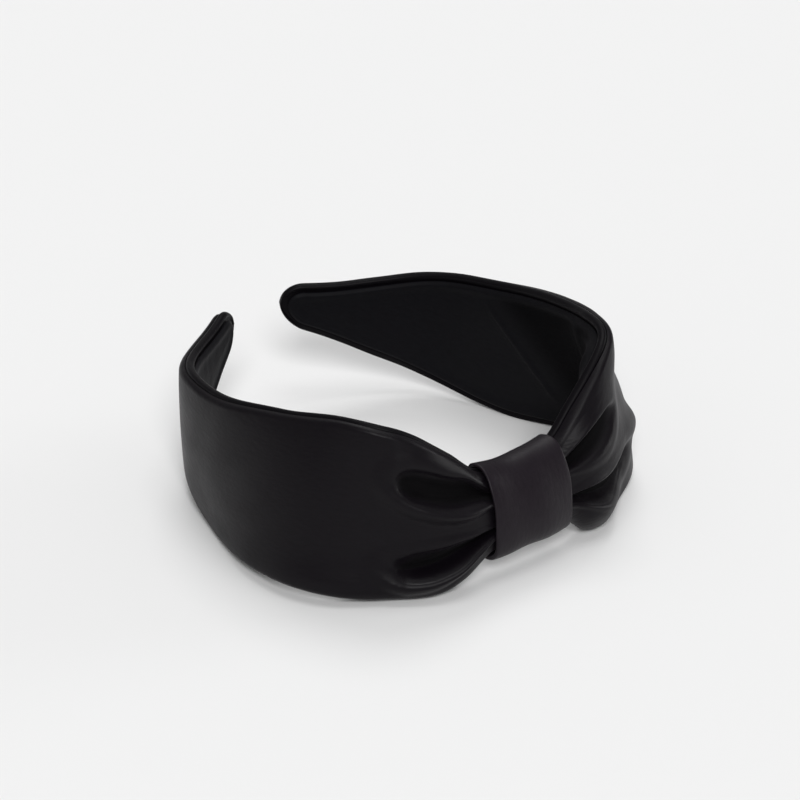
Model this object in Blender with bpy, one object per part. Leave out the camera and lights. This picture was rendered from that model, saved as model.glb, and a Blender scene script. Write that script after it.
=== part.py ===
"""Knotted headband: a sprung plastic hoop dressed in satin, with a padded cover pinched under a knot wrap.

Metres, +Z up. The headband lies on the lower edges of its two wide lobes, with the knot at -Y and the
open tips at +Y, mirrored about X = 0. The origin is at the centre of the bottom of its bounding box.

Every layer is lofted along one line: the middle of the lining, from the knot (s = 0) to a tip (s = ARM).
In a cross-section, v runs up the band's width from its middle and t runs outward from the lining.
The hoop's bending is gathered in two upright hinges, so each layer is cut there into crown and arms.
"""

import math

import bmesh
import bpy
from mathutils import Matrix, Vector

MM = 0.001

# Driving dimensions, in millimetres and degrees
ARM = 190.0  # knot to tip along the lining
BENDS = ((53.9, 56.8, 31.9), (21.5, 142.3, 13.5))  # half turn, place and half length of the two bends
# Along the line: half width, height of the padding, top edge tipped inward, and middle above MID_HEIGHT
WIDTHS = (
    (0, 12.6), (15, 13.9), (25, 20.9), (36, 26.6), (48, 28.8), (60, 29.1), (85, 27.1),
    (112, 24.6), (135, 20.9), (158, 14.4), (175, 9.8), (190, 7.2),
)
PUFFS = ((0, 3.2), (15, 4.2), (28, 4.0), (48, 1.3), (72, 3.3), (105, 3.4), (140, 1.8), (190, 0.7))
LEANS = (
    (0, 18.3), (25, 8.1), (45, 3.3), (65, 13.0), (85, 11.8), (110, 1.9), (130, -0.9),
    (160, -1.7), (190, -1.1),
)
RISES = (
    (0, -4.2), (15, -3.4), (30, -0.8), (45, 4.0), (60, 4.9), (85, 2.7), (112, -0.5), (132, 0.0),
    (158, 3.4), (190, 10.5),
)
TIP_RADIUS = 8.0
MID_HEIGHT = 25.0
DEPTH_SHIFT = -58.7  # puts the middle of the depth at Y = 0

# Layers, as t from the lining's inner face
GAP = 0.3
LINING = 0.6
SLEEVE_WALL = 0.5
CORE = 1.0
SLEEVE_IN = LINING + GAP
CORE_IN = SLEEVE_IN + SLEEVE_WALL + GAP
SLEEVE_OUT = CORE_IN + CORE + GAP + SLEEVE_WALL
COVER_IN = SLEEVE_OUT + GAP
COVER_WALL = 0.7
LINING_INSET = 2.6
COVER_INSET = 0.8
RIM_CORNER = 0.7
CORE_SLACK = 0.2  # extra room beside the core, inside the sleeve
FOOT = 1.6  # width of the cover's seam foot
FOAM_INSET = COVER_INSET + 2.4
TIP_ANGLES = (25, 48, 66, 80)  # of the places round a tip

# Hinges, and the wrap with its thread and stitches
HINGE = 40.0  # place along the line
HINGE_OUT = 10.5  # axis outward of the lining
CUT = 0.6  # half of the slit at a hinge
WRAP_HALF = 15.0
WRAP_WALL = 1.2
WRAP_ROUND = 2.4  # corner radius of the pinched band on the lining's side
WRAP_ROUND_OUT = 5.5  # and on the cover's side
WRAP_TAIL = (-7.0, 4.0)  # the strip's overlapped end, as v
THREAD = 0.6
THREAD_TURNS = 4
THREAD_SPAN = 9.0  # half of the wound length
WRAP_CLEAR = GAP + THREAD + GAP
STITCH = 0.5
STITCHES = 9
STITCH_BITE = 1.8  # how far a stitch reaches to each side of the tail's edge


def smooth(points, s):
    """Cubic curve through (s, value) points."""
    slopes = []
    for i in range(len(points)):
        a = points[max(i - 1, 0)]
        b = points[min(i + 1, len(points) - 1)]
        slopes.append((b[1] - a[1]) / (b[0] - a[0]))
    slopes[0] = 0.0
    for (a, b, ma, mb) in zip(points, points[1:], slopes, slopes[1:]):
        if s <= b[0]:
            break
    span = b[0] - a[0]
    u = min(max((s - a[0]) / span, 0.0), 1.0)
    return (
        a[1] * (1 + 2 * u) * (1 - u) ** 2
        + ma * span * u * (1 - u) ** 2
        + b[1] * u * u * (3 - 2 * u)
        - mb * span * u * u * (1 - u)
    )


def heading(s):
    """Turn of the line since the knot, in radians."""
    turn = sum(half * (math.tanh((s - at) / run) + math.tanh(at / run)) for half, at, run in BENDS)
    return math.radians(turn)


def walk(step=0.5):
    """The line's points, one every step."""
    x, y = 0.0, 0.0
    points = [(x, y)]
    for i in range(round(ARM / step)):
        angle = heading((i + 0.5) * step)
        x += step * math.cos(angle)
        y += step * math.sin(angle)
        points.append((x, y))
    return points, step


LINE, LINE_STEP = walk()


def place(side, s, v, t):
    """World point at v and t in the cross-section s along the right (+1) or left (-1) arm."""
    if s < 0:
        side, s = -side, -s
    i = min(int(s / LINE_STEP), len(LINE) - 2)
    share = s / LINE_STEP - i
    x = LINE[i][0] + share * (LINE[i + 1][0] - LINE[i][0])
    y = LINE[i][1] + share * (LINE[i + 1][1] - LINE[i][1])
    angle = heading(s)
    lean = math.radians(smooth(LEANS, s))
    out = t * math.cos(lean) - v * math.sin(lean)
    up = v * math.cos(lean) + t * math.sin(lean)
    x += out * math.sin(angle)
    y -= out * math.cos(angle)
    z = MID_HEIGHT + smooth(RISES, s) + up
    return Vector((side * x, y + DEPTH_SHIFT, max(z, 0.0))) * MM


def half_width(s, inset=0.0):
    """Half of the band's width at s, drawn in by inset, with a round tip."""
    s = abs(s)
    width = smooth(WIDTHS, s) - inset
    past = s - (ARM - TIP_RADIUS)
    if past <= 0:
        return width
    radius = TIP_RADIUS - inset
    return width * math.sqrt(max(1 - (past / radius) ** 2, 0.0))


def stations(start, end, pitch):
    """Evenly spaced places along the line."""
    count = max(round((end - start) / pitch), 1)
    return [start + (end - start) * i / count for i in range(count + 1)]


def arm_stations(inset, pitch=6.0):
    """Places from the hinge to the tip, closer together round the tip."""
    centre = ARM - TIP_RADIUS
    radius = TIP_RADIUS - inset
    round_tip = [centre + radius * math.sin(math.radians(a)) for a in TIP_ANGLES]
    return stations(HINGE + CUT, centre, pitch) + round_tip


def crown_stations(pitch=5.0):
    """Places from hinge to hinge across the knot."""
    return stations(-(HINGE - CUT), HINGE - CUT, pitch)


def slab(half, low, high, corner):
    """Outline of a flat layer with clipped corners and a point halfway along each face."""
    corner = min(corner, half * 0.45, (high - low) * 0.48)
    return [
        (-half + corner, low),
        (0.0, low),
        (half - corner, low),
        (half, low + corner),
        (half, high - corner),
        (half - corner, high),
        (0.0, high),
        (-half + corner, high),
        (-half, high - corner),
        (-half, low + corner),
    ]


def dome(half, height, points=11):
    """Points of a padded top from -half to half: steep at the seams, full in the middle."""
    result = []
    for i in range(points):
        x = -math.cos(math.pi * i / (points - 1))
        result.append((half * x, height * (1 - x * x) ** 0.65))
    return result


def lining_section(s):
    return slab(half_width(s, LINING_INSET), 0.0, LINING, 0.25)


def core_section(s):
    return slab(half_width(s, SLEEVE_WALL + GAP + CORE_SLACK), CORE_IN, CORE_IN + CORE, 0.3)


def sleeve_section(s):
    return slab(half_width(s), SLEEVE_IN, SLEEVE_OUT, RIM_CORNER)


def sleeve_hole(s):
    return slab(half_width(s, SLEEVE_WALL), CORE_IN - GAP, CORE_IN + CORE + GAP, 0.3)


def cover_section(s):
    """An arch: the puffed satin outside, the foam's hollow inside, and a seam foot at each edge."""
    half = half_width(s, COVER_INSET)
    puff = smooth(PUFFS, abs(s))
    hollow_half = max(half_width(s, COVER_INSET + FOOT), 0.35 * half)
    outer = [(v, COVER_IN + COVER_WALL + t) for v, t in dome(half, puff)]
    inner = [(v, COVER_IN + t) for v, t in dome(hollow_half, puff)]
    return [(-half, COVER_IN)] + outer + [(half, COVER_IN)] + inner[::-1]


def foam_section(s):
    half = half_width(s, FOAM_INSET)
    height = max(smooth(PUFFS, abs(s)) - 2 * GAP, 0.6)
    pad = [(v, COVER_IN + 0.1 + t) for v, t in dome(half, height, 9)]
    return [(pad[0][0], COVER_IN)] + pad + [(pad[-1][0], COVER_IN), (0.0, COVER_IN)]


def new_object(name, mesh_builder, color, roughness):
    """Make one node from a bmesh, with its own Principled material."""
    bm = bmesh.new()
    mesh_builder(bm)
    bmesh.ops.recalc_face_normals(bm, faces=bm.faces)
    mesh = bpy.data.meshes.new(name)
    bm.to_mesh(mesh)
    bm.free()
    mesh.shade_smooth()
    mesh.set_sharp_from_angle(angle=math.radians(40))
    material = bpy.data.materials.new(name)
    material.use_nodes = True
    shader = material.node_tree.nodes["Principled BSDF"]
    shader.inputs["Base Color"].default_value = (*color, 1.0)
    shader.inputs["Roughness"].default_value = roughness
    shader.inputs["Metallic"].default_value = 0.0
    mesh.materials.append(material)
    obj = bpy.data.objects.new(name, mesh)
    bpy.context.collection.objects.link(obj)
    return obj


def rings(bm, side, places, section):
    """One closed ring of vertices for each place along the line."""
    return [[bm.verts.new(place(side, s, v, t)) for v, t in section(s)] for s in places]


def skin(bm, loops):
    """Join neighbouring rings, with every quad split the same way up so that twisted layers stay parallel."""
    for a, b in zip(loops, loops[1:]):
        for i in range(len(a)):
            j = (i + 1) % len(a)
            if a[i].co.z < a[j].co.z:
                bm.faces.new((a[i], a[j], b[j]))
                bm.faces.new((a[i], b[j], b[i]))
            else:
                bm.faces.new((a[i], a[j], b[i]))
                bm.faces.new((a[j], b[j], b[i]))


def solid(side, places, section):
    """A layer closed at both ends."""

    def build(bm):
        loops = rings(bm, side, places, section)
        skin(bm, loops)
        bm.faces.new(loops[0])
        bm.faces.new(loops[-1])

    return build


def ring_cap(bm, outer, inner):
    """Close the end of a tube between its outer and inner rings."""
    for i in range(len(outer)):
        j = (i + 1) % len(outer)
        bm.faces.new((outer[i], outer[j], inner[j], inner[i]))


def sleeve(side, places, hole_places, closed_end):
    """The satin sleeve round the plastic core, open at the hinge and, on an arm, closed at the tip."""

    def build(bm):
        outer = rings(bm, side, places, sleeve_section)
        inner = rings(bm, side, hole_places, sleeve_hole)
        skin(bm, outer)
        skin(bm, inner)
        ring_cap(bm, outer[0], inner[0])
        if closed_end:
            bm.faces.new(outer[-1])
            bm.faces.new(inner[-1])
        else:
            ring_cap(bm, outer[-1], inner[-1])

    return build


def band_outline(s, clearance):
    """Rounded outline round the pinched band near the knot, as (v, t), drawn clear of it by clearance."""
    half = half_width(s) + clearance
    low = -clearance
    high = COVER_IN + COVER_WALL + smooth(PUFFS, abs(s)) + clearance
    outer, inner = WRAP_ROUND_OUT + clearance, WRAP_ROUND + clearance
    corners = (
        (1, high - outer, outer, 0),
        (-1, high - outer, outer, 90),
        (-1, low + inner, inner, 180),
        (1, low + inner, inner, 270),
    )
    points = []
    for sign, centre, radius, start in corners:
        for k in range(4):
            angle = math.radians(start + 30 * k)
            v = sign * (half - radius) + radius * math.cos(angle)
            points.append((v, centre + radius * math.sin(angle)))
    return points


def with_tail(points, step):
    """The outline with four more points on its inner side, where the strip's tail lies step thick."""
    low = points[11][1]
    edge_a, edge_b = WRAP_TAIL
    tail = [(edge_a, low), (edge_a, low - step), (edge_b, low - step), (edge_b, low)]
    return points[:12] + tail + points[12:]


def wrap_tube(bm):
    """The knot's wrap: a folded strip round the band, its end overlapped on the inside."""
    places = stations(-WRAP_HALF, WRAP_HALF, 5.0)
    outer = rings(bm, 1, places, lambda s: with_tail(band_outline(s, WRAP_CLEAR + WRAP_WALL), WRAP_WALL))
    inner = rings(bm, 1, places, lambda s: band_outline(s, WRAP_CLEAR))
    skin(bm, outer)
    skin(bm, inner)
    for loop, bore in ((outer[0], inner[0]), (outer[-1], inner[-1])):
        plain = loop[:12] + loop[16:]
        for i in range(len(bore)):
            j = (i + 1) % len(bore)
            if i == 11:
                bm.faces.new((*loop[11:17], bore[j], bore[i]))
            else:
                bm.faces.new((plain[i], plain[j], bore[j], bore[i]))


def tube(bm, path, radius, sides=6):
    """A round thread along a path of world points, closed at both ends."""
    loops = []
    side_axis = Vector((0.0, 0.0, 1.0))
    for i, point in enumerate(path):
        tangent = (path[min(i + 1, len(path) - 1)] - path[max(i - 1, 0)]).normalized()
        side_axis = (side_axis - tangent * side_axis.dot(tangent)).normalized()
        other_axis = tangent.cross(side_axis)
        turns = [math.tau * k / sides for k in range(sides)]
        offsets = [side_axis * math.cos(a) * radius + other_axis * math.sin(a) * radius for a in turns]
        loops.append([bm.verts.new(point + offset) for offset in offsets])
    skin(bm, loops)
    bm.faces.new(loops[0])
    bm.faces.new(loops[-1])


def gathering_thread(bm):
    """Turns of thread that pinch the band under the wrap."""
    lap = 16
    path = []
    for i in range(THREAD_TURNS * lap + 1):
        s = THREAD_SPAN * (2 * i / (THREAD_TURNS * lap) - 1)
        v, t = band_outline(s, GAP + THREAD / 2)[i % lap]
        path.append(place(1, s, v, t))
    tube(bm, path, THREAD / 2 * MM)


def wrap_stitching(bm):
    """Overcast hand stitches that hold down the wrap's tail."""
    face = -(WRAP_CLEAR + WRAP_WALL + GAP + STITCH / 2)
    edge = WRAP_TAIL[1]
    near, far = edge - STITCH_BITE, edge + STITCH_BITE
    over = [(near, face - WRAP_WALL), (edge + 0.8, face - WRAP_WALL), (edge + 0.8, face), (far, face)]
    path = []
    for i in range(STITCHES):
        leg = over if i % 2 == 0 else over[::-1]
        for k, (v, t) in enumerate(leg):
            s = WRAP_HALF * 0.8 * (2 * (i + k / 4) / STITCHES - 1)
            path.append(place(1, s, v, t))
    tube(bm, path, STITCH / 2 * MM, 5)


SATIN = (0.012, 0.011, 0.013)
PLASTIC = (0.03, 0.03, 0.03)
SPONGE = (0.05, 0.05, 0.052)


def build_crown():
    new_object("core_crown", solid(1, crown_stations(), core_section), PLASTIC, 0.5)
    new_object("sleeve_crown", sleeve(1, crown_stations(), crown_stations(), False), SATIN, 0.4)
    new_object("lining_crown", solid(1, crown_stations(), lining_section), SATIN, 0.45)
    new_object("cover_crown", solid(1, crown_stations(), cover_section), SATIN, 0.4)
    for side, name in ((-1, "foam_crown_left"), (1, "foam_crown_right")):
        places = stations(WRAP_HALF + 2, HINGE - CUT, 5.5)
        new_object(name, solid(side, places, foam_section), SPONGE, 0.9)
    new_object("gathering_thread", gathering_thread, SATIN, 0.5)
    new_object("knot_wrap", wrap_tube, SATIN, 0.4)
    new_object("wrap_stitching", wrap_stitching, SATIN, 0.5)


def hinge_empty(side, name):
    """An empty on the arm's upright hinge axis."""
    i = round(HINGE / LINE_STEP)
    x = LINE[i][0] + HINGE_OUT * math.sin(heading(HINGE))
    y = LINE[i][1] - HINGE_OUT * math.cos(heading(HINGE)) + DEPTH_SHIFT
    empty = bpy.data.objects.new(f"hinge_{name}", None)
    empty.location = Vector((side * x, y, MID_HEIGHT)) * MM
    bpy.context.collection.objects.link(empty)
    return empty


def hang_on(empty, objects):
    """Give the objects their origin on the hinge, without moving them."""
    for obj in objects:
        obj.data.transform(Matrix.Translation(-empty.location))
        obj.parent = empty


def build_arm(side, name):
    core_inset = SLEEVE_WALL + GAP + CORE_SLACK
    sleeve_builder = sleeve(side, arm_stations(0), arm_stations(SLEEVE_WALL), True)
    core_builder = solid(side, arm_stations(core_inset), core_section)
    lining_builder = solid(side, arm_stations(LINING_INSET), lining_section)
    cover_builder = solid(side, arm_stations(COVER_INSET), cover_section)
    foam_builder = solid(side, arm_stations(FOAM_INSET), foam_section)
    arm = [
        new_object(f"core_{name}", core_builder, PLASTIC, 0.5),
        new_object(f"sleeve_{name}", sleeve_builder, SATIN, 0.4),
        new_object(f"lining_{name}", lining_builder, SATIN, 0.45),
        new_object(f"cover_{name}", cover_builder, SATIN, 0.4),
        new_object(f"foam_{name}", foam_builder, SPONGE, 0.9),
    ]
    hang_on(hinge_empty(side, name), arm)


for old in list(bpy.data.objects):
    bpy.data.objects.remove(old, do_unlink=True)

build_crown()
build_arm(-1, "left")
build_arm(1, "right")
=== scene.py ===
"""The looks of the knotted headband: black satin over a sprung hoop, pinched by a knot wrap.

Every layer is a loft along the same line as in the CAD: the middle of the lining, from the knot
(s = 0) to a tip (s = ARM). In a cross-section, v runs up the band's width and t runs outward from
the lining. s, v and t are in millimetres, and place() turns them into world points in metres.
"""

import math

import bpy
import numpy as np
from mathutils import Matrix, Vector


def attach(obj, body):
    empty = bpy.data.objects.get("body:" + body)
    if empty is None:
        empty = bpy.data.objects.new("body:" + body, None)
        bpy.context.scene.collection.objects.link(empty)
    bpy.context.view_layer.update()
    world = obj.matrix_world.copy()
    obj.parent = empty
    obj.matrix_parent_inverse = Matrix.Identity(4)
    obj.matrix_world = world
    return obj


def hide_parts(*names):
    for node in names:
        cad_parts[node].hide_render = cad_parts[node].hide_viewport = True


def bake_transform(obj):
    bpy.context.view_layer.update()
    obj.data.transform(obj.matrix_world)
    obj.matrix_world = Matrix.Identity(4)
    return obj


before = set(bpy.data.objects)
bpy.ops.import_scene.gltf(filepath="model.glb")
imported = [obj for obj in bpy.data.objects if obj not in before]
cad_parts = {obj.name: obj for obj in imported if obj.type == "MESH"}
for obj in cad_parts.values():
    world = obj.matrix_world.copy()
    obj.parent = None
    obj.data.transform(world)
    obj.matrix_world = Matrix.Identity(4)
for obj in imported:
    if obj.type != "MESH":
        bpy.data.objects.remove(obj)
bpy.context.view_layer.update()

MM = 0.001
LEFT, RIGHT = -1, 1
SIDES = ((LEFT, "left"), (RIGHT, "right"))

# The CAD's driving dimensions, in millimetres and degrees
ARM = 190.0
BENDS = ((53.9, 56.8, 31.9), (21.5, 142.3, 13.5))  # half of a bend's turn, its middle, its run
WIDTHS = (
    (0, 12.6), (15, 13.9), (25, 20.9), (36, 26.6), (48, 28.8), (60, 29.1), (85, 27.1),
    (112, 24.6), (135, 20.9), (158, 14.4), (175, 9.8), (190, 7.2),
)
PUFFS = (
    (0, 3.2), (15, 4.2), (28, 4.0), (48, 1.3), (72, 3.3), (105, 3.4), (140, 1.8), (190, 0.7),
)
LEANS = (
    (0, 18.3), (25, 8.1), (45, 3.3), (65, 13.0), (85, 11.8), (110, 1.9), (130, -0.9),
    (160, -1.7), (190, -1.1),
)
RISES = (
    (0, -4.2), (15, -3.4), (30, -0.8), (45, 4.0), (60, 4.9), (85, 2.7), (112, -0.5), (132, 0.0),
    (158, 3.4), (190, 10.5),
)
TIP_RADIUS = 8.0
MID_HEIGHT = 25.0
DEPTH_SHIFT = -58.7

# Where each layer lies, as t from the lining's inner face
LINING_BACK = 0.6
SLEEVE_IN, SLEEVE_OUT = 0.9, 3.5
CORE_IN, CORE_OUT = 1.7, 2.7
COVER_BACK = 3.8

# How far each layer is drawn in from the band's edge
COVER_INSET = 0.9
FOAM_INSET = 2.3
CORE_INSET = 1.0
LINING_INSET = 2.6

# How finely the layers are modelled: mm between rings, and points across a face
PITCH = 0.75
HIDDEN_PITCH = 1.5
COVER_ACROSS, FOAM_ACROSS, LINING_ACROSS = 121, 61, 91

# The cover and the sponge under it
SATIN = 0.6  # thickness of the cover's satin
SATIN_FOOT = 0.9  # width of the cover's turned edge
EDGE_ROLL = 1.7  # radius of its outer edge
LEAST_RISE = 0.7  # of the satin over the sleeve, at the bottom of a fold
SOFTEN = 0.12  # how softly a fold meets that bottom
FOAM_GAP = 0.4  # between the sponge and the satin
PAINTED_SHADE_DEPTHS = (0.8, 3.2)  # fold depths across which painted shade darkens the satin's colour and dulls its gloss, where little light gets into a fold

# The sleeve round the plastic core, whose edge shows as the rolled rim
SLEEVE_WALL = 0.5
CORE_ROOM = 0.3  # between the core and the sleeve
BEAD = 0.8  # radius of the rim's rolled edge
NECK = 0.35  # how far the sleeve's inner face drops beside the bead
SWELL = 0.3  # how far the bead stands up towards the head

# The knot's wrap
WRAP_HALF = 15.0  # half of its length along the band
WRAP_CLEAR = 1.2
WRAP_WALL = 1.2
WRAP_TAIL = (-6.4, 4.6)  # the strip's overlapped end, sewn down on the inside, as v
WRAP_LAP = 220  # points round the wrap
WRAP_ACROSS, WRAP_ACROSS_IN = 61, 21  # points across its outer and inner face
WRAP_TALL = 12.3  # half of the pinched band's width at the knot
WRAP_FLARE = 1.0  # the wrap's extra half width at its edges
WRAP_SHIFT = -0.6  # how far below the line the wrap is centred
WRAP_MIDDLE = 2.0  # t of the wrap's widest place
WRAP_ROUNDING = 2.25  # power of the outer half of its section: 2 is an ellipse
WRAP_ROUNDING_IN = 4.0  # and of the inner half

# The stretch of the line over which an arm's bend would be spread; only its two ends are placed
BEND_START, BEND_END = 16.0, 72.0

# Seeds of the unevenness. A seed that is used on both arms has the side added.
PUCKER_SEED, COVER_SEED, RIM_SEED, CREPE_SEED, LINING_SEED, WRAP_SEED = 11, 23, 41, 61, 71, 91


def curve(points, s):
    """Smooth curve through (place, value) points, as in the CAD."""
    x = np.array([p[0] for p in points], float)
    y = np.array([p[1] for p in points], float)
    slope = np.zeros_like(x)
    slope[1:-1] = (y[2:] - y[:-2]) / (x[2:] - x[:-2])
    slope[-1] = (y[-1] - y[-2]) / (x[-1] - x[-2])
    i = np.clip(np.searchsorted(x, s) - 1, 0, len(x) - 2)
    span = x[i + 1] - x[i]
    u = np.clip((s - x[i]) / span, 0, 1)
    return (
        y[i] * (1 + 2 * u) * (1 - u) ** 2
        + slope[i] * span * u * (1 - u) ** 2
        + y[i + 1] * u * u * (3 - 2 * u)
        - slope[i + 1] * span * u * u * (1 - u)
    )


def heading(s):
    """Which way the line runs at s, in radians, with 0 straight to the side at the knot."""
    turn = sum(half * (np.tanh((s - at) / run) + math.tanh(at / run)) for half, at, run in BENDS)
    return np.radians(turn)


LINE_STEP = 0.25
LINE_S = np.arange(0.0, ARM + LINE_STEP / 2, LINE_STEP)
_turn = heading(LINE_S[:-1] + LINE_STEP / 2)
LINE_X = np.concatenate([[0.0], np.cumsum(LINE_STEP * np.cos(_turn))])
LINE_Y = np.concatenate([[0.0], np.cumsum(LINE_STEP * np.sin(_turn))])


def place(side, s, v, t):
    """World points, in metres, at v and t in the sections s. A negative s is on the other arm."""
    s, v, t = np.broadcast_arrays(np.asarray(s, float), v, t)
    mirror = np.where(s < 0, -side, side)
    s = np.abs(s)
    angle = heading(s)
    lean = np.radians(curve(LEANS, s))
    out = t * np.cos(lean) - v * np.sin(lean)
    up = v * np.cos(lean) + t * np.sin(lean)
    x = np.interp(s, LINE_S, LINE_X) + out * np.sin(angle)
    y = np.interp(s, LINE_S, LINE_Y) - out * np.cos(angle) + DEPTH_SHIFT
    z = np.maximum(MID_HEIGHT + curve(RISES, s) + up, 0.0)
    return np.stack([mirror * x, y, z], -1) * MM


def half_width(s, inset=0.0):
    """Half of the band's width at s, drawn in by inset, with a round tip."""
    s = np.abs(s)
    radius = TIP_RADIUS - inset
    past = np.maximum(s - (ARM - TIP_RADIUS), 0.0) / radius
    return (curve(WIDTHS, s) - inset) * np.sqrt(np.maximum(1 - past**2, 0.0))


def step(x, low, high):
    """Smooth rise from 0 at low to 1 at high."""
    u = np.clip((x - low) / (high - low), 0, 1)
    return u * u * (3 - 2 * u)


def ridge(x, width):
    """A smooth bump of height 1 round x = 0."""
    return np.exp(-((x / width) ** 2))


def noise(seed, *coordinates):
    """Smooth repeatable noise between about -1 and 1, from a few crossed waves."""
    waves, spread = 7, 3.5
    rng = np.random.default_rng(seed)
    total = 0.0
    for _ in range(waves):
        phase = rng.uniform(0, math.tau)
        for c in coordinates:
            phase = phase + c * rng.normal(0, 1)
        total = total + np.sin(phase)
    return total / spread


def arm_places(inset, pitch):
    """Places from the knot to the tip for a layer drawn in by inset, closer round the tip."""
    centre = ARM - TIP_RADIUS
    straight = np.linspace(0.0, centre, round(centre / pitch))
    tip = centre + (TIP_RADIUS - inset) * np.sin(np.radians(np.linspace(5, 88, 18)))
    return np.concatenate([straight, tip])


def edge_distance(s, v, inset):
    """How far a point is inside the layer's edge, along the sides and round the tip."""
    full = curve(WIDTHS, np.abs(s)) - inset
    radius = TIP_RADIUS - inset
    past = np.maximum(np.abs(s) - (ARM - TIP_RADIUS), 0.0) / radius
    along_side = full - np.abs(v)
    round_tip = (1 - np.hypot(past, v / full)) * radius
    return np.maximum(np.where(past > 0, round_tip, along_side), 0.0)


def roll(distance, radius):
    """Height of a rounded edge: a quarter circle, then flat."""
    d = np.minimum(distance, radius)
    return np.sqrt(np.maximum(radius**2 - (radius - d) ** 2, 0.0))


# The section of a fold across its opening, as (place, height), from below the lower edge to above
# the upper one. A tuck hangs over its deepest place, close above a full lower lip.
TUCK = (
    (-2.4, 0.0), (-1.85, 0.28), (-1.5, 0.34), (-1.05, 0.0), (-0.82, -0.6), (-0.6, -0.98),
    (-0.2, -0.95), (0.35, -0.66), (0.8, -0.32), (1.1, 0.0), (1.5, 0.1), (2.2, 0.0),
)
# A valley drops steeply from its upper edge and rises to a crisp lower one.
VALLEY = (
    (-2.2, 0.0), (-1.5, 0.14), (-1.05, -0.08), (-0.75, -0.62), (-0.25, -0.95), (0.3, -1.0),
    (0.6, -0.8), (0.85, -0.2), (1.15, 0.2), (1.6, 0.12), (2.2, 0.0),
)
# Each fold: its section, its path of (s, v, half of its opening, depth) from the knot outward,
# where it starts closing, and over how long
FOLDS = {
    LEFT: (
        (
            TUCK,
            ((12, 5.2, 1.4, 3.0), (17, 7.2, 2.3, 4.4), (22, 9.3, 3.8, 5.2), (28, 10.4, 4.6, 5.4),
             (35, 11.8, 5.2, 5.0), (42, 12.2, 5.0, 4.4)),
            38.5, 5.5,
        ),
        (
            TUCK,
            ((12, -5.4, 1.0, 2.4), (18, -6.1, 1.6, 3.6), (23, -7.6, 2.2, 4.4),
             (28, -9.8, 3.2, 4.8), (35, -13.0, 4.0, 4.4), (42, -16.0, 4.0, 3.6)),
            38.0, 7.0,
        ),
    ),
    RIGHT: (
        (
            VALLEY,
            ((12, 5.0, 1.5, 3.0), (18, 6.4, 2.6, 5.2), (25, 8.2, 4.0, 5.2), (32, 9.4, 4.8, 3.8),
             (38, 9.8, 4.8, 2.4)),
            34.0, 6.0,
        ),
        (
            VALLEY,
            ((12, -5.6, 1.2, 3.4), (20, -6.2, 2.1, 5.6), (28, -8.4, 3.3, 5.8),
             (36, -10.8, 4.3, 4.8), (46, -13.6, 4.8, 3.2)),
            42.0, 11.0,
        ),
    ),
}
# Each crest: its path of (s, v, height) and its half width
CRESTS = {
    LEFT: (
        (((24, 12.4, 0.0), (29, 13.4, 0.5), (36, 14.2, 0.8), (43, 13.0, 0.0)), 1.1),
        (((28, -8.4, 0.0), (33, -11.0, 0.4), (38, -13.2, 0.5), (44, -15.6, 0.0)), 1.2),
        (((18, -13.0, 0.8), (30, -20.5, 2.4), (45, -24.0, 2.6), (62, -25.0, 1.4),
          (80, -24.0, 0.4)), 6.5),
        (((14, 3.8, 0.0), (18, 3.5, 0.5), (24, 3.6, 0.9), (32, 4.4, 1.0), (38, 5.4, 0.9),
          (44, 7.8, 0.3), (50, 10.0, 0.0)), 2.0),
        (((16, -8.4, 0.0), (20, -10.2, 0.5), (26.5, -14.0, 0.8), (31, -16.2, 0.9),
          (36, -19.0, 0.8), (42, -21.0, 0.4), (48, -21.0, 0.0)), 1.9),
    ),
    RIGHT: (
        (((16, -2.4, 0.0), (32, -1.2, 0.6), (44, -4.0, 1.2), (54, -8.5, 2.0), (63, -11.5, 2.2),
          (74, -13.0, 0.8), (86, -14.0, 0.0)), 4.5),
        (((16, -9.5, 1.0), (22, -13.0, 3.1), (29, -16.0, 3.4), (36, -19.2, 1.7),
          (45, -22.5, 0.0), (56, -25.0, 0.0)), 4.5),
        (((36, 12.0, 0.0), (50, 12.0, -1.8), (66, 12.0, -1.7), (84, 12.0, 0.0)), 9.0),
    ),
}
# How far the cover's lower edge hangs down past the rim, onto what the headband lies on
SAG = {
    LEFT: (
        (0, 0.0), (16, 0.5), (22, 0.7), (32, 1.0), (48, 1.4), (62, 0.5), (76, 0.0), (112, 0.0),
        (190, 0.0),
    ),
    RIGHT: (
        (0, 0.0), (16, 0.8), (23, 2.4), (32, 2.2), (50, 1.8), (65, 1.2), (90, 0.5), (112, 0.0),
        (190, 0.0),
    ),
}
# How far the gathered satin and sponge stand up round the folds
PLUMP = ((0, 0.0), (14, 0.2), (24, 1.5), (36, 1.7), (50, 0.9), (70, 0.0), (190, 0.0))
# The right lining's crease, from its lower end to its upper, as (v, s)
CREASE = ((-14.9, 91.5), (-8.9, 95.5), (2.5, 105.5), (12.6, 115.5), (20.0, 122.0))
CREASE_SLOPE = 0.72  # from a distance along s to one square to the crease


def fold(s, v, section, path, end, run):
    """A fold that opens from the knot and closes in a round end, from s = end over run."""
    middle, gap, depth = (curve([(p[0], p[k]) for p in path], s) for k in (1, 2, 3))
    off = (v - middle) / gap
    q = np.hypot(off, np.maximum(s - end, 0.0) / run)
    upper = step(off / np.maximum(q, 1e-6), -1, 1)
    low, high = curve(section, -q), curve(section, q)
    return depth * (low + (high - low) * upper)


def crest(s, v, path, width):
    """A ridge along a path, or a trough where its height is negative."""
    middle, height = (curve([(p[0], p[k]) for p in path], s) for k in (1, 2))
    return height * ridge(v - middle, width)


def fold_relief(side, s, v):
    """The folds alone, as a change of t."""
    return sum(fold(s, v, *one) for one in FOLDS[side])


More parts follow.
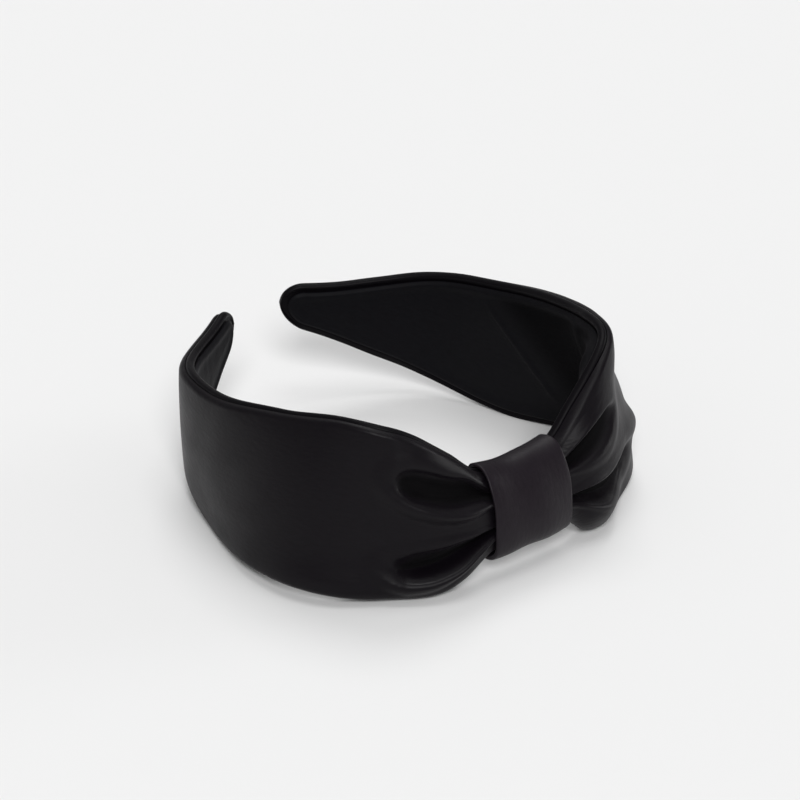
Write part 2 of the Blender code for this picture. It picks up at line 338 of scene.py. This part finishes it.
def cover_relief(side, s, v):
    """Folds and puckers of the cover's satin, as a change of t."""
    total = fold_relief(side, s, v)
    for path, width in CRESTS[side]:
        total = total + crest(s, v, path, width)
    inside = edge_distance(s, v, COVER_INSET)
    total = total * (1 - np.exp(-inside / 1.2))
    pucker = noise(PUCKER_SEED + side, s / 2.2, v / 30)
    pucker = pucker * np.exp(-inside / 3.5) * step(inside, 0.2, 1.5)
    broad = noise(COVER_SEED + side, s / 19, v / 14) * step(inside, 1.0, 7.0)
    pinch = -1.1 * (1 - step(s, WRAP_HALF - 5, WRAP_HALF + 1))
    return total + 0.1 * pucker + 0.16 * broad + pinch * step(inside, 0.0, 2.0)


def cover_height(side, s, v):
    """t of the cover's outer face."""
    half = np.maximum(half_width(s, COVER_INSET), 1e-6)
    x = np.clip(v / half, -1, 1)
    inside = edge_distance(s, v, COVER_INSET)
    crown = (curve(PUFFS, s) - 1.0 + curve(PLUMP, s)) * (1 - x * x) ** 0.75
    edge = roll(inside, EDGE_ROLL)
    rise = edge + crown + cover_relief(side, s, v)
    least = np.minimum(edge, LEAST_RISE)
    return COVER_BACK + least + SOFTEN * np.logaddexp(0.0, (rise - least) / SOFTEN)


def sag(side, s, v):
    """How far the cover and sponge hang down, most at the lower edge."""
    low = (1 - v / v[:, -1:]) / 2
    return curve(SAG[side], s)[:, None] * low**3


def past_crease(s, v):
    """How far a point of the right lining is from its crease, towards the tip."""
    heights, places = zip(*CREASE)
    return CREASE_SLOPE * (s - np.interp(v, heights, places))


def lining_relief(side, s, v):
    """How far the lining stands off the sleeve, towards the head."""
    inside = edge_distance(s, v, LINING_INSET)
    hem = 0.4 * ridge(inside - 1.5, 1.3) * step(inside, 0.0, 1.0)
    slack = 0.4 * step(inside, 0.5, 9.0) * step(s, 20, 50)
    crepe = 0.06 * noise(CREPE_SEED + side, s / 1.3, v / 7)
    crepe = crepe * step(s, 130, 165) * step(inside, 0.3, 2.0)
    broad = 0.2 * noise(LINING_SEED + side, s / 16, v / 9) * step(inside, 0.5, 5.0)
    total = hem + slack + crepe + broad
    free = step(inside, 0.0, 3.0)
    if side == RIGHT:
        # a taut crease from the upper edge to the lower, with a hollow on its knot side
        off = past_crease(s, v)
        length = step(v, -17, -10) * (1 - step(v, 10, 18))
        total = total + 0.6 * ridge(off, 0.95) * length - 0.4 * ridge(off + 8.0, 6.0) * length
        # slack that bridges the tight bend at the shoulder
        total = total + 1.1 * ridge(s - 68 - 0.3 * (v - 16), 5.0) * ridge(v - 17, 8.0) * free
        total = total + 2.4 * ridge(s - 50, 15.0) * step(inside, 0.0, 6.0)
        total = total + 2.8 * ridge(s - 43, 8.0) * ridge(inside - 4.0, 3.0) * (v > 0)
    else:
        # two puckers from the upper edge
        total = total + 5.0 * ridge(s - 104, 7.5) * ridge(inside - 4.5, 3.2) * (v > 0)
        total = total + 0.7 * ridge(s - 96 - 0.3 * v, 5.0) * step(v, 0, 12) * free
    return total


def across(half, count):
    """v from -half to half at each place, packed towards the edges."""
    u = np.linspace(-1, 1, count)
    x = np.where(np.abs(u) > 0.999, u, 0.45 * u + 0.55 * np.sin(u * math.pi / 2))
    return half[:, None] * x[None, :]


def shell_ring(outer_v, outer_t, back, wall, foot):
    """Close an arch: outer face, foot, inner face and foot again."""
    half = outer_v[:, -1:]
    shrink = np.maximum(1 - foot / half, 0.35)
    inner_v = (outer_v * shrink)[:, ::-1]
    rise = (outer_t - back)[:, ::-1]
    inner_t = back + np.maximum(rise - wall, 0.3 * rise)
    low = np.full_like(half, back)
    v = np.concatenate([outer_v, inner_v[:, :1], inner_v, inner_v[:, -1:]], 1)
    t = np.concatenate([outer_t, low, inner_t, low], 1)
    return v, t


def rounded_slab(s, half, low, high, radius, flat_points=33, arc_points=9):
    """Rings round a flat layer with rounded edges."""
    radius = np.minimum(radius, half * 0.9)
    reach = half - radius
    tall = np.minimum(radius, (high - low) / 2)
    turn = np.radians(np.linspace(0, 90, arc_points))
    flat = np.linspace(-1, 1, flat_points)[1:-1]
    v, t = [], []

    def edge(angles, end, face):
        base = high - tall if face > 0 else low + tall
        for c, sn in zip(np.cos(angles), np.sin(angles)):
            v.append(end * (reach + radius * c))
            t.append(base + face * tall * sn)

    def face_points(places, level):
        for f in places:
            v.append(reach * f)
            t.append(np.full_like(half, level))

    edge(turn, 1, 1)
    face_points(flat[::-1], high)
    edge(turn[::-1], -1, 1)
    edge(turn, -1, -1)
    face_points(flat, low)
    edge(turn[::-1], 1, -1)
    return np.stack(v, 1), np.stack(t, 1)


def beaded_slab(s, half, low, high):
    """Rings round a flat layer whose edges are rolled into beads towards the head."""
    v, t = rounded_slab(s, half, low, high, 1.2)
    inward = half[:, None] - np.abs(v)
    inner = step((low + high) / 2 - t, 0.0, 0.6)
    bead = SWELL * ridge(inward - BEAD, 0.75 * BEAD)
    neck = NECK * step(inward, 1.6 * BEAD, 2.4 * BEAD)
    return v, t + inner * (neck - bead)


def cell_corners(grid):
    """The four corners of each cell of a grid, in a face's order."""
    return np.stack([grid[:-1, :-1], grid[:-1, 1:], grid[1:, 1:], grid[1:, :-1]], 2)


def closed_rings(grid):
    """A grid with its first column again at the end."""
    return np.concatenate([grid, grid[:, :1]], 1)


def cloth_map(p):
    """UVs in metres for rings: lengthwise along the middle of the face, then round the ring."""
    rings, around = p.shape[:2]
    spans = np.linalg.norm(np.diff(p[:, around // 4], axis=0), axis=1)
    u = np.concatenate([[0.0], np.cumsum(spans)])
    girth = np.linalg.norm(np.roll(p, -1, 1) - p, axis=2)
    w = np.concatenate([np.zeros((rings, 1)), np.cumsum(girth, 1)], 1)
    w = w - w[:, around // 4][:, None]
    u = np.broadcast_to(u[:, None], w.shape)
    return cell_corners(np.stack([u, w], -1)).reshape(-1, 2)


def volume(mesh):
    """Six times the volume inside a mesh, negative if its faces point inward."""
    mesh.calc_loop_triangles()
    corner = np.empty(len(mesh.loop_triangles) * 3, np.int32)
    mesh.loop_triangles.foreach_get("vertices", corner)
    co = np.empty(len(mesh.vertices) * 3)
    mesh.vertices.foreach_get("co", co)
    a, b, c = (co.reshape(-1, 3)[corner.reshape(-1, 3)[:, k]] for k in range(3))
    return float(np.einsum("ij,ij->", a, np.cross(b, c)))


def finish_mesh(name, vertices, polygons, uvs):
    """A named object from points, faces and the UVs of its first faces' corners."""
    mesh = bpy.data.meshes.new(name)
    mesh.from_pydata(vertices.tolist(), [], polygons)
    flat = np.zeros((len(mesh.loops), 2), np.float32)
    flat[: len(uvs)] = uvs
    mesh.uv_layers.new(name="cloth").data.foreach_set("uv", flat.ravel())
    if volume(mesh) < 0:
        mesh.flip_normals()
    mesh.shade_smooth()
    mesh.set_sharp_from_angle(angle=math.radians(50))
    obj = bpy.data.objects.new(name, mesh)
    bpy.context.scene.collection.objects.link(obj)
    return obj


def loft(name, side, s, v, t, hole=None):
    """A closed piece through the rings (v, t) at the places s, hollow where a hole is given."""
    skins = [place(side, s[:, None], v, t)]
    if hole:
        hole_s, hole_v, hole_t = hole
        skins.append(place(side, hole_s[:, None], hole_v, hole_t))
    polygons, uvs, index = [], [], []
    first = 0
    for p in skins:
        rings, around = p.shape[:2]
        grid = first + np.arange(rings * around).reshape(rings, around)
        first += rings * around
        index.append(grid)
        polygons += cell_corners(closed_rings(grid)).reshape(-1, 4).tolist()
        uvs.append(cloth_map(p))
    if hole:
        # the ring of faces at the knot between the outside and the hole, then both tips
        outer, inner = (grid[0] for grid in index)
        rim = np.stack([outer, np.roll(outer, -1), np.roll(inner, -1), inner], -1)
        polygons += rim.tolist() + [grid[-1].tolist() for grid in index]
    else:
        polygons += [index[0][0].tolist(), index[0][-1].tolist()]
    vertices = np.concatenate([p.reshape(-1, 3) for p in skins])
    return finish_mesh(name, vertices, polygons, np.concatenate(uvs))


def mark_painted_shade(piece, ring_shape, shade):
    """Keep, for the material, the painted shade of each point of the outer face, by how far it
    lies in a hollow.
    """
    # the "hollow" attribute holds painted shade for the material
    hollow = np.zeros(ring_shape, np.float32)
    hollow[:, : shade.shape[1]] = shade
    values = piece.data.attributes.new("hollow", "FLOAT", "POINT").data
    values.foreach_set("value", hollow.ravel())
    return piece


def make_cover(side, name):
    """The satin over one arm, folded beside the knot."""
    s = arm_places(COVER_INSET, PITCH)
    v = across(half_width(s, COVER_INSET), COVER_ACROSS)
    t = cover_height(side, s[:, None], v)
    t[:, 0] = t[:, -1] = COVER_BACK
    # painted shade: the deeper a point lies in a fold, the darker its colour is drawn
    shade = step(-fold_relief(side, s[:, None], v), *PAINTED_SHADE_DEPTHS)
    v = v - sag(side, s, v)
    ring_v, ring_t = shell_ring(v, t, COVER_BACK, SATIN, SATIN_FOOT)
    cover = loft(f"satin_cover_{name}", side, s, ring_v, ring_t)
    return mark_painted_shade(cover, ring_v.shape, shade)


def make_foam(side, name):
    """The sponge under the cover, which follows its folds."""
    s = arm_places(FOAM_INSET, HIDDEN_PITCH)
    v = across(half_width(s, FOAM_INSET), FOAM_ACROSS)
    rise = cover_height(side, s[:, None], v) - COVER_BACK
    t = COVER_BACK + np.maximum(rise - SATIN - FOAM_GAP, 0.25 * rise)
    v = v - sag(side, s, v)
    base_v = np.linspace(1, -1, 11)[1:-1] * v[:, -1:]
    base_t = np.full_like(base_v, COVER_BACK + 0.05)
    ring_v, ring_t = np.concatenate([v, base_v], 1), np.concatenate([t, base_t], 1)
    return loft(f"foam_pad_{name}", side, s, ring_v, ring_t)


def make_sleeve(side, name):
    """The satin sleeve, which shows as the rolled rim between cover and lining."""
    s = arm_places(0.0, PITCH)
    v, t = beaded_slab(s, half_width(s), SLEEVE_IN, SLEEVE_OUT)
    wander = 0.12 * noise(RIM_SEED + side, s[:, None] / 5, np.sign(v) * 2)
    v = v + np.sign(v) * wander * (np.abs(v) > half_width(s)[:, None] - 2)
    hole_s = arm_places(SLEEVE_WALL, HIDDEN_PITCH)
    hole = rounded_slab(
        hole_s, half_width(hole_s, SLEEVE_WALL), CORE_IN - CORE_ROOM, CORE_OUT + CORE_ROOM, 0.5
    )
    return loft(f"satin_rim_{name}", side, s, v, t, (hole_s, *hole))


def make_core(side, name):
    """The springy plastic strip."""
    s = arm_places(CORE_INSET, HIDDEN_PITCH)
    v, t = rounded_slab(s, half_width(s, CORE_INSET), CORE_IN, CORE_OUT, 0.45)
    return loft(f"hoop_strip_{name}", side, s, v, t)


def make_lining(side, name):
    """The lining glued on the inside, loose at the bends."""
    s = arm_places(LINING_INSET, PITCH)
    v = across(half_width(s, LINING_INSET), LINING_ACROSS)
    inside = edge_distance(s[:, None], v, LINING_INSET)
    edge = 0.5 * roll(inside, 1.0)
    t = LINING_BACK - 0.1 - edge - lining_relief(side, s[:, None], v)
    back_v = v[:, ::-6]
    back_t = np.minimum(np.maximum(t[:, ::-6] + 0.5, 0.0), LINING_BACK)
    ring_v, ring_t = np.concatenate([v, back_v], 1), np.concatenate([t, back_t], 1)
    # painted shade: the right lining is drawn darker on the knot side of its crease, in the
    # hollow there
    shade = 0.9 * step(-past_crease(s[:, None], v), 0.0, 14.0) * step(inside, 0.5, 4.0)
    lining = loft(f"satin_lining_{name}", side, s, ring_v, ring_t)
    return mark_painted_shade(lining, ring_v.shape, shade * (side == RIGHT))


def wrap_outline(clearance, count):
    """One even ring of v and t round the pinched band, drawn clear of it by clearance."""
    half = WRAP_TALL + clearance
    high = COVER_BACK + SATIN + curve(PUFFS, np.array(WRAP_HALF)) + clearance
    turn = np.linspace(0, math.tau, 2001)
    c, sn = np.cos(turn), np.sin(turn)
    power = 2 / np.where(sn >= 0, WRAP_ROUNDING, WRAP_ROUNDING_IN)
    v = half * np.sign(c) * np.abs(c) ** power
    reach = np.where(sn >= 0, high - WRAP_MIDDLE, WRAP_MIDDLE + clearance)
    t = WRAP_MIDDLE + reach * np.sign(sn) * np.abs(sn) ** power
    length = np.concatenate([[0.0], np.cumsum(np.hypot(np.diff(v), np.diff(t)))])
    at = np.linspace(0, length[-1], count, endpoint=False)
    return np.interp(at, length, v)[None, :], np.interp(at, length, t)[None, :]


def outward(v, t):
    """Unit normals of closed rings of points, pointing out of the ring."""
    dv = np.roll(v, -1, 1) - np.roll(v, 1, 1)
    dt = np.roll(t, -1, 1) - np.roll(t, 1, 1)
    size = np.hypot(dv, dt)
    return dt / size, -dv / size


def wrap_profile():
    """The folded strip's section: (s, height) from its left edge over the outside and back."""
    turn = np.radians(np.linspace(-90, 90, 9))
    radius = WRAP_WALL / 2
    flat = WRAP_HALF - radius
    left = [(-flat - radius * math.cos(a), radius * math.sin(a)) for a in turn]
    right = [(flat + radius * math.cos(a), radius * math.sin(a)) for a in turn[::-1]]
    top = [(x, radius) for x in np.linspace(-flat, flat, WRAP_ACROSS)[1:-1]]
    inside = [(x, -radius) for x in np.linspace(flat, -flat, WRAP_ACROSS_IN)[1:-1]]
    return left + top + right + inside


def make_wrap():
    """The knot's wrap: a strip of satin folded to width, drawn tight round the pinch."""
    profile = wrap_profile()
    lap = np.arange(WRAP_LAP) / WRAP_LAP * math.tau
    v, t = wrap_outline(WRAP_CLEAR + WRAP_WALL / 2, WRAP_LAP)
    nv, nt = outward(v, t)
    outside = step(t, -1.0, 2.0)
    start, end = WRAP_TAIL
    tail = WRAP_WALL * step(v, start - 0.4, start + 0.4) * (1 - step(v, end - 0.4, end + 0.4))
    tail = tail * (t < 0)
    slide = 0.35 * np.sin(lap * 2 + 0.4) + 0.15 * np.sin(lap * 5)
    rows = []
    for s, height in profile:
        outer = max(height, 0.0) / (WRAP_WALL / 2)
        along = s / WRAP_HALF
        drawn = 0.16 * noise(WRAP_SEED, s / 5.0, 1.3 * np.cos(lap), 1.3 * np.sin(lap))
        folds = 0.22 * np.sin(s / 3.1 + 1.2 * np.sin(lap + 0.6)) * (1 - along**2)
        belly = 0.35 * (1 - along**4)
        offset = height + outer * (outside * (drawn + folds + belly) + tail)
        ring_v = (v + nv * offset) * (1 + WRAP_FLARE / WRAP_TALL * along**2) + WRAP_SHIFT
        ring_s = s + slide[None, :] * abs(along)
        rows.append(place(RIGHT, ring_s, ring_v, t + nt * offset)[0])
    points = np.stack(rows)
    index = closed_rings(np.arange(points[..., 0].size).reshape(points.shape[:2]))
    polygons = cell_corners(np.concatenate([index, index[:1]])).reshape(-1, 4)
    # the cloth runs round the wrap, measured along one row of its outer face
    run = np.concatenate([[0.0], np.cumsum(np.linalg.norm(np.diff(points[20], axis=0), axis=1))])
    run = np.append(run, run[-1] + run[1])
    width = np.array([p[0] for p in profile + profile[:1]]) * MM
    grid = np.stack(np.broadcast_arrays(run[None, :], width[:, None]), -1)
    uvs = cell_corners(grid).reshape(-1, 2)
    return finish_mesh("knot_wrap_satin", points.reshape(-1, 3), polygons.tolist(), uvs)


class Nodes:
    """Short calls for building a node tree."""

    def __init__(self, name):
        self.material = bpy.data.materials.new(name)
        self.material.use_nodes = True
        self.tree = self.material.node_tree
        self.shader = self.tree.nodes["Principled BSDF"].inputs

    def add(self, kind, **settings):
        """A new node, and its input sockets."""
        node = self.tree.nodes.new(f"ShaderNode{kind}")
        for key, value in settings.items():
            setattr(node, key, value)
        return node, node.inputs

    def feed(self, sockets, **values):
        """Give input sockets, by name with _ for a space, a plain value or another's output."""
        for key, value in values.items():
            socket = sockets[key.replace("_", " ")]
            if isinstance(value, bpy.types.NodeSocket):
                self.tree.links.new(value, socket)
            else:
                socket.default_value = value

    def scaled(self, uv, across_scale, along_scale):
        """The cloth's UVs in metres, scaled to a pattern's size."""
        node, sockets = self.add("Mapping")
        self.feed(sockets, Vector=uv, Scale=(along_scale, across_scale, 1.0))
        return node.outputs["Vector"]

    def pattern(self, vector, scale, detail):
        node, sockets = self.add("TexNoise")
        self.feed(sockets, Vector=vector, Scale=scale, Detail=detail)
        return node.outputs["Fac"]

    def ramp(self, value, low, high):
        node, sockets = self.add("MapRange")
        self.feed(sockets, Value=value, To_Min=low, To_Max=high)
        return node.outputs["Result"]

    def mixed(self, kind, factor, value, other):
        node, sockets = self.add("Mix", data_type=kind)
        self.feed(sockets, Factor=factor, A=value, B=other)
        return node.outputs["Result"]

    def tinted(self, color, spread, factor):
        """A colour that goes from darker to lighter by spread as the factor goes from 0 to 1."""
        return self.mixed("RGBA", factor, shaded(color, 1 - spread), shaded(color, 1 + spread))

    def bump(self, height, strength, distance, **under):
        node, sockets = self.add("Bump")
        self.feed(sockets, Height=height, Strength=strength, Distance=distance, **under)
        return node.outputs["Normal"]


def shaded(color, share):
    return (*[c * share for c in color], 1)


def satin(name, color, roughness, gloss, with_painted_shade=False):
    """Black satin: a fine lengthwise grain of floats, soft sheen, and faint uneven lustre."""
    n = Nodes(name)
    uv = n.add("UVMap", uv_map="cloth")[0].outputs["UV"]
    floats = n.pattern(n.scaled(uv, 9000, 1400), 1.0, 2.0)
    slubs = n.pattern(n.scaled(uv, 800, 320), 1.0, 3.0)
    lustre = n.pattern(n.scaled(uv, 90, 60), 1.0, 2.0)
    shade = n.tinted(color, 0.25, slubs)
    blur = n.ramp(lustre, roughness - 0.1, roughness + 0.1)
    if with_painted_shade:
        # painted shade: darker colour and duller gloss where little light gets in
        painted_shade = n.add("Attribute", attribute_name="hollow")[0].outputs["Fac"]
        shade = n.mixed("RGBA", painted_shade, shade, shaded(color, 0.3))
        blur = n.mixed("FLOAT", painted_shade, blur, 0.95)
    fine = n.bump(floats, 0.35, 0.00003)
    tangent = n.add("Tangent", direction_type="UV_MAP", uv_map="cloth")[0].outputs["Tangent"]
    n.feed(
        n.shader,
        Base_Color=shade,
        Roughness=blur,
        Normal=n.bump(slubs, 0.55, 0.00016, Normal=fine),
        Tangent=tangent,
        Anisotropic=0.35,
        Specular_IOR_Level=gloss,
        Sheen_Weight=0.015,
        Sheen_Roughness=0.35,
        Sheen_Tint=(0.95, 0.88, 1.0, 1.0),
    )
    return n.material


def plain_fibre(name, color, roughness, scale, depth):
    """Small-scale rough stuff such as thread, foam or moulded plastic."""
    n = Nodes(name)
    cells = n.pattern(n.add("TexCoord")[0].outputs["Object"], scale, 4.0)
    n.feed(
        n.shader,
        Base_Color=n.tinted(color, 0.3, cells),
        Roughness=n.ramp(cells, roughness - 0.08, roughness + 0.08),
        Normal=n.bump(cells, 0.5, depth),
    )
    return n.material


# The cover and the lining carry painted shade in their folds and hollows
COVER_SATIN = satin("cover_satin", (0.0034, 0.0024, 0.0038), 0.44, 0.13, with_painted_shade=True)
RIM_SATIN = satin("rim_satin", (0.0028, 0.0022, 0.0032), 0.48, 0.08)
LINING_SATIN = satin("lining_satin", (0.0052, 0.0050, 0.0062), 0.58, 0.055, with_painted_shade=True)
WRAP_SATIN = satin("wrap_satin", (0.0092, 0.0064, 0.0094), 0.43, 0.16)
FOAM = plain_fibre("foam_sponge", (0.05, 0.05, 0.052), 0.9, 1800, 0.0004)
PLASTIC = plain_fibre("hoop_plastic", (0.03, 0.03, 0.03), 0.45, 700, 0.00005)
THREAD = plain_fibre("sewing_thread", (0.012, 0.011, 0.013), 0.6, 5000, 0.00008)


def dress(piece, material, slot, *nodes):
    """Give a piece its material and hide the CAD nodes it replaces. The slot is not used."""
    piece.data.materials.append(material)
    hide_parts(*nodes)
    return piece


def flat_area(inset):
    """The flat area, in square metres, of one half of the band drawn in by inset."""
    s = arm_places(inset, PITCH)
    return float(np.trapz(2 * half_width(s, inset), s)) * MM * MM


def make_half(side, name):
    """Every layer of one arm."""
    cover = dress(make_cover(side, name), COVER_SATIN, "satin", f"cover_{name}", "cover_crown")
    foam = dress(make_foam(side, name), FOAM, "foam", f"foam_{name}", f"foam_crown_{name}")
    rim = dress(make_sleeve(side, name), RIM_SATIN, "satin", f"sleeve_{name}", "sleeve_crown")
    core = dress(make_core(side, name), PLASTIC, "hoop_plastic", f"core_{name}", "core_crown")
    lining = make_lining(side, name)
    dress(lining, LINING_SATIN, "lining_satin", f"lining_{name}", "lining_crown")
    start, end = (place(side, s, 0.0, 0.0) for s in (BEND_START, BEND_END))
    for piece in (cover, foam, rim, core, lining):
        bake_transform(piece)
    flat_area(LINING_INSET)


for side, name in SIDES:
    make_half(side, name)

wrap = dress(make_wrap(), WRAP_SATIN, "satin", "knot_wrap")
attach(wrap, "crown")

for node in ("gathering_thread", "wrap_stitching"):
    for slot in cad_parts[node].material_slots:
        slot.material = THREAD


# The stage: pale floor, soft light and the camera
CAMERA_AZIMUTH = math.radians(-40.52)
CAMERA_ELEVATION = math.radians(28.25)
CAMERA_ROLL = math.radians(-0.09)
CAMERA_DISTANCE = 1.5696
CAMERA_TARGET = Vector((0.0120, 0.00954, 0.02295))
CAMERA_LENS, CAMERA_SENSOR = 218.7, 36.0
FLOOR_HALF = 4.0
FLOOR_COLOR = (0.81, 0.81, 0.81, 1)
WORLD_STRENGTH = 0.24

scene = bpy.context.scene


def make_camera():
    """The photograph's camera. Gives its level directions to the right and away from it."""
    a, e = CAMERA_AZIMUTH, CAMERA_ELEVATION
    forward = Vector((-math.sin(a) * math.cos(e), math.cos(a) * math.cos(e), -math.sin(e)))
    right = Vector((math.cos(a), math.sin(a), 0.0))
    up = right.cross(forward)
    rolled_right = right * math.cos(CAMERA_ROLL) + up * math.sin(CAMERA_ROLL)
    rolled_up = up * math.cos(CAMERA_ROLL) - right * math.sin(CAMERA_ROLL)
    camera = bpy.data.objects.new("camera", bpy.data.cameras.new("camera"))
    camera.data.lens = CAMERA_LENS
    camera.data.sensor_width = CAMERA_SENSOR
    camera.data.clip_start, camera.data.clip_end = 0.05, 20.0
    turn = Matrix((rolled_right, rolled_up, -forward)).transposed().to_4x4()
    camera.matrix_world = Matrix.Translation(CAMERA_TARGET - forward * CAMERA_DISTANCE) @ turn
    scene.collection.objects.link(camera)
    scene.camera = camera
    return right, Vector((forward.x, forward.y, 0)).normalized()


def make_sun(name, direction, strength, softness):
    """A far soft light that shines from direction, softness degrees wide."""
    data = bpy.data.lights.new(name, "SUN")
    data.energy = strength
    data.angle = math.radians(softness)
    lamp = bpy.data.objects.new(name, data)
    scene.collection.objects.link(lamp)
    lamp.rotation_mode = "QUATERNION"
    lamp.rotation_quaternion = direction.to_track_quat("Z", "Y")


def make_floor():
    """The pale, dull floor."""
    h = FLOOR_HALF
    mesh = bpy.data.meshes.new("floor")
    mesh.from_pydata([(-h, -h, 0), (h, -h, 0), (h, h, 0), (-h, h, 0)], [], [(0, 1, 2, 3)])
    floor = bpy.data.objects.new("floor", mesh)
    scene.collection.objects.link(floor)
    n = Nodes("pale_floor")
    n.feed(n.shader, Base_Color=FLOOR_COLOR, Roughness=0.9, Specular_IOR_Level=0.1)
    mesh.materials.append(n.material)


to_right, away = make_camera()
make_floor()
UP = Vector((0, 0, 1))
make_sun("overhead", to_right * 0.1 + UP, 0.68, 30)
make_sun("back", away * 0.62 + UP, 0.78, 26)
make_sun("front", -away * 1.2 + to_right * 0.07 + UP, 1.98, 20)
make_sun("side", to_right * 0.92 + away * 0.36 + UP * 0.12, 0.9, 30)

world = bpy.data.worlds.new("studio")
scene.world = world
world.use_nodes = True
background = world.node_tree.nodes["Background"].inputs
background["Color"].default_value = (1.0, 1.0, 1.0, 1)
background["Strength"].default_value = WORLD_STRENGTH
scene.view_settings.view_transform = "Standard"
